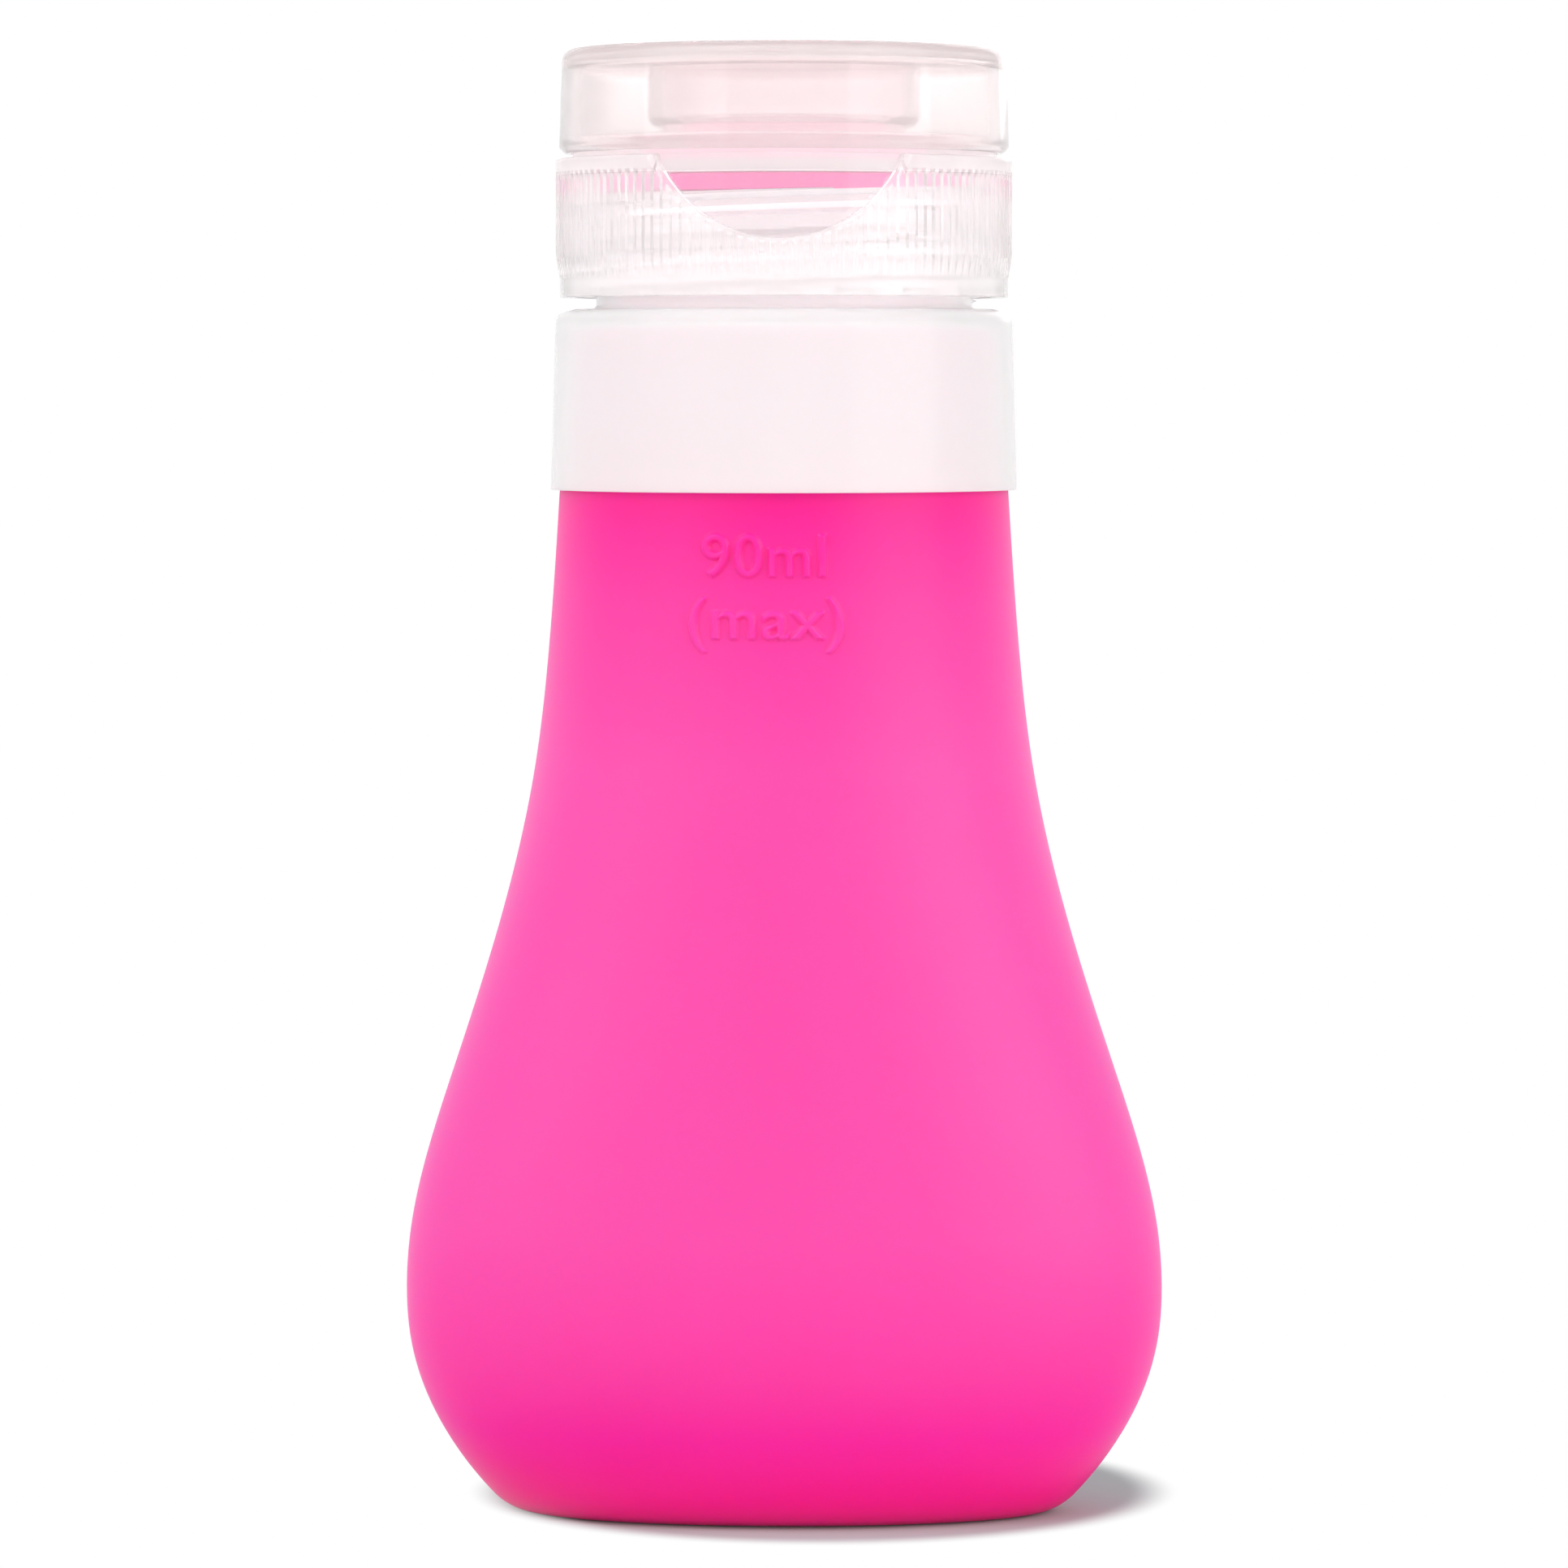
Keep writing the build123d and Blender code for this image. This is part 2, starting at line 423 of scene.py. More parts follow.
@dataclass(frozen=True)
class MouldedSilicone:
    """Pigmented silicone rubber with a blasted matte skin.

    The colour is painted deeper towards the foot and in the band just under the collar: painted
    shade where the floor and the collar's overhang keep the light off, with plain pink on the belly
    between. The blasted grain, drawn at 0.3 mm because the real one is too fine to show, spreads
    highlights into a soft sheen.
    """

    name: str = "moulded_silicone"
    # Stops from the foot up; the deep ones near 0 mm and from 75 to 84.2 mm are painted shade under the
    # belly and the collar's overhang.
    tones: tuple[Tone, ...] = (
        Tone(0.0, "#ff0084"), Tone(4.8, "#ff0096"), Tone(7.6, "#ff0ca0"), Tone(13.0, "#ff34a2"),
        Tone(24.0, "#ff48a8"), Tone(62.0, "#ff48a8"), Tone(75.0, "#ff339f"), Tone(81.0, "#ff1896"),
        Tone(84.2, "#ff008a"), Tone(90.0, "#ff40a8"), Tone(112.0, "#ff40a8"),
    )
    cloud_tint: str = "#fff4fb"
    roughness: float = 0.44
    roughness_swing: float = 0.04
    ior: float = 1.41
    gloss: float = 0.42
    sheen: float = 0.06
    sheen_roughness: float = 0.5
    glow: float = 0.6
    glow_depth: tuple[float, float, float] = (6.0, 0.3, 1.0)
    clouds: Pattern = Pattern(9.0, 3.0)
    grain: Pattern = Pattern(0.3, 2.0)
    grain_strength: float = 0.1
    grain_depth: float = 0.02

    def tone_by_height(self, tree: NodeTree, place: NodeSocket) -> NodeSocket:
        """Colour of the silicone by its height on the bottle, with painted shade at the foot and under the
        collar.

        Args:
            tree: The material's node tree.
            place: The point's place on the bottle, in metres.

        Returns:
            The colour's socket.
        """
        height = add_node(tree, "SeparateXYZ", {0: place}).outputs["Z"]
        top = self.tones[-1].height
        share = add_node(tree, "MapRange", {"Value": height, "From Max": top * MM})
        ramp = add_node(tree, "ValToRGB", {"Fac": share.outputs["Result"]})
        stops = ramp.color_ramp.elements
        for tone in self.tones[1:-1]:
            stops.new(tone.height / top)
        for stop, tone in zip(stops, self.tones):
            stop.color = linear(tone.colour)
        return ramp.outputs["Color"]

    def make(self) -> Material:
        """Builds the material: tone by height with painted shade at the foot and under the collar, faint
        clouds, a blasted grain and inner glow.

        Returns:
            The material.
        """
        material, tree, output = new_material(self.name)
        place = add_node(tree, "TexCoord").outputs["Object"]
        clouds, grain = (
            add_node(tree, "TexNoise", {"Vector": place, "Scale": 1 / (size * MM), "Detail": detail})
            for size, detail in (self.clouds, self.grain)
        )
        tint = add_node(tree, "Mix",
                        {MIX_SHARE: clouds.outputs["Fac"], MIX_FIRST: linear(WHITE),
                         MIX_SECOND: linear(self.cloud_tint)},
                        data_type="RGBA")
        colour = add_node(tree, "Mix",
                          {MIX_SHARE: 1.0, MIX_FIRST: self.tone_by_height(tree, place),
                           MIX_SECOND: tint.outputs[MIX_RESULT]},
                          data_type="RGBA", blend_type="MULTIPLY")
        rough = add_node(tree, "MapRange",
                         {"Value": grain.outputs["Fac"], "To Min": self.roughness - self.roughness_swing,
                          "To Max": self.roughness + self.roughness_swing})
        bump = add_node(tree, "Bump",
                        {"Strength": self.grain_strength, "Distance": self.grain_depth * MM,
                         "Height": grain.outputs["Fac"]})
        skin = add_node(tree, "BsdfPrincipled",
                        {"Base Color": colour.outputs[MIX_RESULT], "Roughness": rough.outputs["Result"],
                         "IOR": self.ior, "Specular IOR Level": self.gloss,
                         "Sheen Weight": self.sheen, "Sheen Roughness": self.sheen_roughness,
                         "Subsurface Weight": self.glow, "Subsurface Scale": MM,
                         "Subsurface Radius": self.glow_depth, "Normal": bump.outputs["Normal"]})
        tree.links.new(skin.outputs["BSDF"], output.inputs["Surface"])
        return material


@dataclass(frozen=True)
class MouldedPolypropylene:
    """Injection-moulded polypropylene, waxy, and milky or clear by how much light goes through.

    Flow marks 7 mm apart and a ripple of half a millimetre, coarser than the real one so that it
    shows, break up the reflections. Lamplight passes the walls, so shadows inside stay pale.
    """

    name: str
    colour: str
    clear_share: float
    roughness: float = 0.1
    lamplight: str = "#f7f4f5"
    glow: float = 0.2
    glow_depth: tuple[float, float, float] = (1.0, 0.9, 0.9)
    ior: float = 1.49
    glare: str = "#808080"
    flow: Pattern = Pattern(7.0, 2.0)
    flow_swing: float = 0.15
    ripple: Pattern = Pattern(0.5, 1.0)
    ripple_strength: float = 0.03
    ripple_depth: float = 0.02

    def make(self) -> Material:
        """Builds the material: faint flow marks, a waxy gloss, and lamplight let through the walls.

        Returns:
            The material.
        """
        material, tree, output = new_material(self.name)
        place = add_node(tree, "TexCoord").outputs["Object"]
        flow, ripple = (
            add_node(tree, "TexNoise", {"Vector": place, "Scale": 1 / (size * MM), "Detail": detail})
            for size, detail in (self.flow, self.ripple)
        )
        rough = add_node(tree, "MapRange",
                         {"Value": flow.outputs["Fac"], "To Min": self.roughness * (1 - self.flow_swing),
                          "To Max": self.roughness * (1 + self.flow_swing)})
        bump = add_node(tree, "Bump",
                        {"Strength": self.ripple_strength, "Distance": self.ripple_depth * MM,
                         "Height": ripple.outputs["Fac"]})
        wax = add_node(tree, "BsdfPrincipled",
                       {"Base Color": linear(self.colour), "Roughness": rough.outputs["Result"],
                        "IOR": self.ior, "Transmission Weight": self.clear_share,
                        "Specular Tint": linear(self.glare),
                        "Subsurface Weight": self.glow, "Subsurface Scale": MM,
                        "Subsurface Radius": self.glow_depth, "Normal": bump.outputs["Normal"]})
        from_lamps = add_node(tree, "LightPath").outputs["Is Shadow Ray"]
        passed = add_node(tree, "BsdfTransparent", {"Color": linear(self.lamplight)})
        mixed = add_node(tree, "MixShader",
                         {0: from_lamps, 1: wax.outputs["BSDF"], 2: passed.outputs[0]})
        tree.links.new(mixed.outputs[0], output.inputs["Surface"])
        return material


class Palette(NamedTuple):
    """The finishes that the pieces share."""

    silicone: Material
    milky: Material
    hazy: Material
    roof: Material
    thick: Material
    edge: Material
    thin: Material
    clear: Material

    @classmethod
    def make(cls) -> "Palette":
        """Makes each finish once.

        Returns:
            The finishes.
        """
        moulded = MouldedPolypropylene
        return cls(
            silicone=MouldedSilicone().make(),
            # The collar's filler scatters half the light, so it looks like milk glass.
            milky=moulded("milky_polypropylene", "#fafafa", 0.42, 0.16, "#b8b8b8", 0.4).make(),
            # Ribbed walls blur what lies behind them.
            hazy=moulded("hazy_polypropylene", "#faf7f7", 0.69).make(),
            # The roof's colour carries a painted pink blush, standing in for the light that the pink valve
            # below throws up into it.
            roof=moulded("painted_blush_roof_polypropylene", "#f0e7e7", 0.69).make(),
            # Thick plates scatter more light, so look whiter.
            thick=moulded("thick_polypropylene", "#faf4f5", 0.52).make(),
            # A whiter, more milky copy for ledges and thread flanks: painted glints that stand in for the
            # white lines of light they catch.
            edge=moulded("painted_glint_polypropylene", "#fcfafb", 0.3, 0.16).make(),
            # Thin polished walls show the pink lip behind them.
            thin=moulded("thin_polypropylene", "#f7f3f4", 0.83, 0.07).make(),
            # The lid's skirt is clear, with a faint grey in its walls.
            clear=moulded("clear_polypropylene", "#f1ecec", 0.82, 0.08, "#f4f0f1").make(),
        )


def finish_piece(piece: Object, material: Material, slot: Slot, body: Body,
                 *nodes: str) -> Object:
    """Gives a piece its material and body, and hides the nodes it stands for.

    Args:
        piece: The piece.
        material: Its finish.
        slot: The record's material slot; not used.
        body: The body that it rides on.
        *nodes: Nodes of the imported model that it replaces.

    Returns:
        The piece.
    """
    piece.data.materials.clear()
    piece.data.materials.append(material)
    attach(piece, body.value)
    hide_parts(*nodes)
    return piece


@dataclass
class Thread:
    """A single-start right-hand screw ridge, in millimetres."""

    height_at_front: float
    depth: float
    pitch: float = 4.0
    width: float = 1.9
    turns: float = 2.0
    fade_turns: float = 0.12
    top_turn: float = 0.25
    crest_share: float = 0.3
    foot_share: float = 0.5

    def ridge(self, angle: Array, height: Array) -> Array:
        """How far the ridge stands out at each point.

        Args:
            angle: Angle about the axis, from -pi to pi.
            height: Height in millimetres.

        Returns:
            The ridge's depth there, from 0 to its full depth.
        """
        turn = (angle + math.pi / 2) / (2 * math.pi)
        best = np.zeros_like(angle)
        for lap in range(-math.ceil(self.turns) - 1, 2):
            along = turn + lap
            centre = self.height_at_front + self.pitch * along
            away = np.abs(height - centre)
            form = 1 - smoothstep(away, self.width * self.crest_share, self.width * self.foot_share)
            ends = smoothstep(along, -self.turns, -self.turns + self.fade_turns)
            ends = ends * (1 - smoothstep(along, self.top_turn - self.fade_turns, self.top_turn))
            best = np.maximum(best, form * ends)
        return best * self.depth


class MarkLine(NamedTuple):
    """A line of raised type: its text, and the middle, bottom, width and height of its box."""

    text: str
    middle: float
    bottom: float
    width: float
    height: float


@dataclass
class FillMark:
    """Raised fill mark on the body's front, moulded in one with the skin."""

    lines: tuple[MarkLine, ...] = (
        MarkLine("90ml", -1.2, 77.5, 9.7, 3.35),
        MarkLine("(max)", -1.0, 71.5, 12.2, 4.3),
    )
    proud: float = 0.3
    bolder: float = 0.05
    edge: float = 0.26
    spacing: float = 1.08
    curve_steps: int = 8
    sample_step: float = 0.04

    def flat_type(self, line: MarkLine) -> tuple[Array, list[tuple[int, ...]], list[tuple[int, int]]]:
        """Lays out a line of type on the plane of width and height.

        Args:
            line: The line of type.

        Returns:
            Its points, its faces and the edges that bound them.
        """
        type_curve = bpy.data.curves.new("fill_mark", "FONT")
        type_curve.body = line.text
        type_curve.resolution_u = self.curve_steps
        type_curve.space_character = self.spacing
        type_object = add_object("fill_mark", type_curve)
        graph = bpy.context.evaluated_depsgraph_get()
        mesh = bpy.data.meshes.new_from_object(type_object.evaluated_get(graph))
        points = np.array([v.co[:2] for v in mesh.vertices])
        faces = [tuple(face.vertices) for face in mesh.polygons]
        uses: dict[tuple[int, int], int] = {}
        for face in mesh.polygons:
            for key in face.edge_keys:
                uses[key] = uses.get(key, 0) + 1
        bpy.data.objects.remove(type_object)
        bpy.data.meshes.remove(mesh)
        low, high = points.min(axis=0), points.max(axis=0)
        share = (points - low) / (high - low)
        corner = np.array([line.middle - line.width / 2, line.bottom])
        placed = corner + share * np.array([line.width, line.height])
        return placed, faces, [key for key, count in uses.items() if count == 1]

    def depth_inside(self, line: MarkLine, across: Array, height: Array) -> Array:
        """Distance of points from the outline of a line of type, positive inside.

        Args:
            line: The line of type.
            across: Places along X.
            height: Heights.

        Returns:
            The distances, -1 away from the line's box.
        """
        points, faces, rim = self.flat_type(line)
        flat = [(x, z, 0.0) for x, z in points]
        inside = BVHTree.FromPolygons(flat, faces)
        samples = []
        for a, b in rim:
            parts = max(1, math.ceil(np.hypot(*(points[b] - points[a])) / self.sample_step))
            samples.extend(points[a] + (points[b] - points[a]) * k / parts for k in range(parts))
        tree = KDTree(len(samples))
        for index, sample in enumerate(samples):
            tree.insert((*sample, 0.0), index)
        tree.balance()
        margin = self.bolder + self.edge
        low, high = points.min(axis=0) - margin, points.max(axis=0) + margin
        result = np.full(across.shape, -1.0)
        near = (across > low[0]) & (across < high[0]) & (height > low[1]) & (height < high[1])
        for index in np.argwhere(near):
            x, z = across[tuple(index)], height[tuple(index)]
            away = tree.find((x, z, 0.0))[2]
            hit = inside.ray_cast(Vector((x, z, 1.0)), Vector((0.0, 0.0, -1.0)))[0]
            result[tuple(index)] = away if hit else -away
        return result

    def raised(self, across: Array, height: Array) -> Array:
        """How far the mark stands out of the skin.

        Args:
            across: Places along X.
            height: Heights.

        Returns:
            The rise at each point.
        """
        rise = np.zeros(across.shape)
        for line in self.lines:
            depth = self.depth_inside(line, across, height)
            slope = smoothstep(depth, -self.bolder - self.edge / 2, -self.bolder + self.edge / 2)
            rise = np.maximum(rise, slope)
        return rise * self.proud


@dataclass
class SqueezeBody:
    """The pink silicone body with its raised fill mark."""

    levels: Heights
    mark: FillMark
    belly_height: float = 18.4
    belly_width: float = 62.2
    belly_depth: float = 33.4
    base_width: float = 45.0
    base_depth: float = 22.3
    shoulder_diameter: float = 36.7
    roundness: float = 2.2
    edge_radius: float = 5.0
    wall: float = 2.0
    floor: float = 2.4
    recess_depth: float = 0.6
    recess_margin: float = 5.0
    recess_slope: float = 0.4
    sole_inset: float = 0.3
    seat_radius: float = 17.49
    neck_radius: float = 13.99
    lip_radius: float = 15.35
    mouth_radius: float = 12.39
    lip_thickness: float = 1.45
    deck_underside: float = 97.59
    seat_flare: float = 0.42
    seat_step: float = 0.05
    throat_depth: float = 1.6
    shoulder_slope: float = 3.2
    row_step: float = 0.8
    foot_rows: int = 25
    top_rows: int = 8
    inner_rows: int = 60
    mark_step: float = 0.09
    columns: int = 224
    mark_reach: float = 7.9
    mark_low: float = 71.1
    mark_high: float = 81.2
    recess_rings: tuple[float, ...] = (0.02, 0.5, 0.96, 1.0)
    recess_lip: tuple[tuple[float, float], ...] = ((0.7, 0.1), (1.0, 0.0))
    floor_rings: tuple[float, ...] = (0.8, 0.4, 0.02)
    lower_shares: tuple[float, ...] = (0.0, 0.14, 0.32, 0.55, 0.8)
    upper_shares: tuple[tuple[float, float], ...] = (
        (0.0, 0.0), (0.08, 0.031), (0.17, 0.134), (0.28, 0.313), (0.40, 0.514),
        (0.52, 0.690), (0.65, 0.833), (0.80, 0.927), (1.0, 1.0),
    )

    def half_sizes(self, height: Array) -> tuple[Array, Array]:
        """Half width and half depth of the body's oval, before its foot is rounded.

        Args:
            height: Heights above the floor, up to the collar.

        Returns:
            Half widths and half depths.
        """
        knots, widths, depths = [], [], []
        for share in self.lower_shares:
            swell = 1 - (1 - share) ** self.roundness
            knots.append(self.belly_height * share)
            widths.append(self.base_width + (self.belly_width - self.base_width) * swell)
            depths.append(self.base_depth + (self.belly_depth - self.base_depth) * swell)
        rise = self.levels.threaded_collar.low - self.belly_height
        for share, narrowing in self.upper_shares:
            knots.append(self.belly_height + rise * share)
            widths.append(self.belly_width + (self.shoulder_diameter - self.belly_width) * narrowing)
            depths.append(self.belly_depth + (self.shoulder_diameter - self.belly_depth) * share)
        return (np.minimum(natural_spline(knots, widths, height) / 2, self.belly_width / 2),
                natural_spline(knots, depths, height) / 2)

    def rounded_foot(self, sizes: Array, height: Array) -> Array:
        """Rounds the foot of one profile with an arc that touches the floor and the wall.

        Args:
            sizes: The profile's half sizes at the heights.
            height: The heights, from the floor up.

        Returns:
            The half sizes with the foot rounded.
        """
        arc = np.sqrt(np.maximum(0, self.edge_radius**2 - np.maximum(self.edge_radius - height, 0) ** 2))
        low = height < self.edge_radius
        gaps = np.where(low, sizes - arc, np.inf)
        touch = int(np.argmin(gaps))
        return np.where(height <= height[touch], gaps[touch] + arc, sizes)

    def outside(self) -> list[Oval]:
        """Lays the level ovals of the outside, from the floor to the collar.

        Returns:
            The ovals, close together across the fill mark.
        """
        top = self.levels.threaded_collar.low
        foot = self.edge_radius * np.linspace(0, 1, self.foot_rows) ** 2
        heights = np.concatenate([
            foot,
            np.arange(self.edge_radius + self.row_step, self.mark_low, self.row_step),
            np.arange(self.mark_low, self.mark_high, self.mark_step),
            np.linspace(self.mark_high, top, self.top_rows),
        ])
        widths, depths = (self.rounded_foot(size, heights) for size in self.half_sizes(heights))
        return [Oval(w, d, z) for w, d, z in zip(widths, depths, heights)]

    def ovals(self) -> list[Oval]:
        """Lays the body's level ovals.

        Returns:
            The ovals, from the base's middle up outside and down inside.
        """
        top = self.levels.threaded_collar.low
        skin = self.outside()
        foot = skin[0]
        wide, deep = self.base_width / 2 - self.recess_margin, self.base_depth / 2 - self.recess_margin
        rows = [Oval(wide * s, deep * s, self.recess_depth) for s in self.recess_rings]
        rows += [Oval(wide + self.recess_slope * s, deep + self.recess_slope * s, z)
                 for s, z in self.recess_lip]
        rows.append(Oval(foot.half_width - self.sole_inset, foot.half_depth - self.sole_inset, 0.0))
        rows += skin
        rows += [Oval(r, r, z) for r, z in self.neck_outline()]
        inner = np.linspace(top, 0, self.inner_rows)
        widths, depths = self.half_sizes(inner)
        lift = self.floor + inner * (top - self.floor) / top
        rows += [Oval(w - self.wall, d - self.wall, z) for w, d, z in zip(widths, depths, lift)]
        last = rows[-1]
        rows += [Oval(last.half_width * s, last.half_depth * s, self.floor) for s in self.floor_rings]
        return rows

    def neck_outline(self) -> Array:
        """Outlines the shoulder seat, the neck and the folded lip.

        Returns:
            Radius and height of each point.
        """
        top, lip = self.levels.threaded_collar.low, self.levels.bottle_body.high
        rim = lip - self.lip_thickness
        inside = self.shoulder_diameter / 2 - self.wall
        seat_bottom = self.seat_radius + self.seat_flare
        corners = [
            Corner(inside, top), Corner(self.shoulder_diameter / 2, top),
            Corner(seat_bottom, top + self.seat_step), Corner(self.seat_radius, self.deck_underside, 1.2),
            Corner(self.neck_radius, self.deck_underside, 0.3), Corner(self.neck_radius, rim, 0.2),
            Corner(self.lip_radius, rim, 0.2), Corner(self.lip_radius, lip, 0.5),
            Corner(self.mouth_radius, lip, 0.5),
            Corner(self.mouth_radius, self.deck_underside - self.throat_depth, 1.5),
            Corner(inside, self.deck_underside - self.shoulder_slope, 1.0),
        ]
        return rounded_outline(corners)[1:]

    def angles(self) -> Array:
        """Spaces the columns.

        Returns:
            Their angles, close together across the fill mark.
        """
        shoulder, front = self.shoulder_diameter / 2, -math.pi / 2
        reach = math.asin(self.mark_reach / shoulder)
        fine = np.arange(front - reach, front + reach, self.mark_step / shoulder)
        coarse = even_angles(self.columns)
        return np.sort(np.concatenate([fine, coarse[np.abs(coarse - front) > reach]]))

    def build(self) -> Object:
        """Skins the body over its ovals and raises the mark.

        Returns:
            The body.
        """
        ovals = np.array(self.ovals())
        angle, half_width = np.meshgrid(self.angles(), ovals[:, 0])
        half_depth, height = (np.repeat(ovals[:, k][:, None], angle.shape[1], axis=1) for k in (1, 2))
        across, along = half_width * np.cos(angle), half_depth * np.sin(angle)
        shell = (along < 0) & (half_width > self.shoulder_diameter / 2 - self.wall / 2)
        rise = np.where(shell, self.mark.raised(across, height), 0.0)
        grow = 1 + rise / np.hypot(across, along)
        rings = np.stack([across * grow, along * grow, height], axis=-1) * MM
        return mesh_from_rings("silicone_body", rings, closed=False)

    def dress(self, palette: Palette) -> list[Object]:
        """Builds and finishes the body, and returns it."""
        return [finish_piece(self.build(), palette.silicone, Slot.SILICONE, Body.BOTTLE, "bottle_body")]


@dataclass
class NeckCollar:
    """The milky collar: skirt, deck and threaded neck in one moulding."""

    levels: Heights
    bottom_radius: float = 19.075
    top_radius: float = 18.65
    top: float = 98.85
    wall: float = 1.1
    deck: float = 1.2
    corner: float = 1.3
    neck_radius: float = 15.35
    neck_wall: float = 1.3
    root_rounding: float = 0.5
    thread_front: float = 105.7
    thread_depth: float = 1.2
    neck_reach: float = 0.3
    hair: float = 0.01
    columns: int = 288
    row_step: float = 0.2

    def build(self) -> Object:
        """Turns the collar and raises the thread on its neck.

        Returns:
            The collar.
        """
        bottom, rim = self.levels.threaded_collar
        corners = [
            Corner(self.bottom_radius, bottom, 0.12), Corner(self.top_radius, self.top, self.corner),
            Corner(self.neck_radius, self.top, self.root_rounding), Corner(self.neck_radius, rim, 0.15),
            Corner(self.neck_radius - self.neck_wall, rim, 0.15),
            Corner(self.neck_radius - self.neck_wall, self.top - self.deck, 0.15),
            Corner(self.top_radius - self.wall, self.top - self.deck, 0.6),
            Corner(self.bottom_radius - self.wall, bottom, 0.12),
        ]
        outline = divided(rounded_outline(corners, steps=7), self.row_step)
        return turned("threaded_collar_skin", outline, even_angles(self.columns), self.threaded)

    def threaded(self, angle: Array, radius: Array, height: Array) -> tuple[Array, Array]:
        """Lifts the neck's outside by the thread.

        Args:
            angle: Angle about the axis.
            radius: Radius before shaping.
            height: Height in millimetres.

        Returns:
            The new radius, and the height as it was.
        """
        ridge = Thread(self.thread_front, self.thread_depth).ridge(angle, height)
        outside = (radius > self.neck_radius - self.hair) & (radius < self.neck_radius + self.neck_reach)
        outside = outside & (height > self.top + self.root_rounding)
        return radius + np.where(outside, ridge, 0), height

    def dress(self, palette: Palette) -> list[Object]:
        """Builds and finishes the collar, and returns it."""
        return [finish_piece(self.build(), palette.milky, Slot.MILKY, Body.BOTTLE, "threaded_collar")]


@dataclass
class HingePad:
    """Flat pad on a round wall, for one end of the film hinge."""

    bottom: float
    top: float
    face: float = 18.73
    half_width: float = 4.5
    edge: float = 0.35
    hair: float = 0.01
    least_slope: float = 0.5

    def raised(self, angle: Array, radius: Array, height: Array) -> Array:
        """Radius of a wall with the pad raised on it.

        Args:
            angle: Angle about the axis.
            radius: The wall's radius.
            height: Height in millimetres.

        Returns:
            The new radius.
        """
        across = np.abs(radius * np.cos(angle))
        behind = np.sin(angle)
        flat = self.face / np.maximum(behind, self.least_slope)
        inside = 1 - smoothstep(across, self.half_width - self.edge, self.half_width)
        inside = inside * smoothstep(height, self.bottom, self.bottom + self.edge) * (behind > 0)
        inside = inside * (height <= self.top + self.hair)
        return radius + np.maximum(flat - radius, 0) * inside


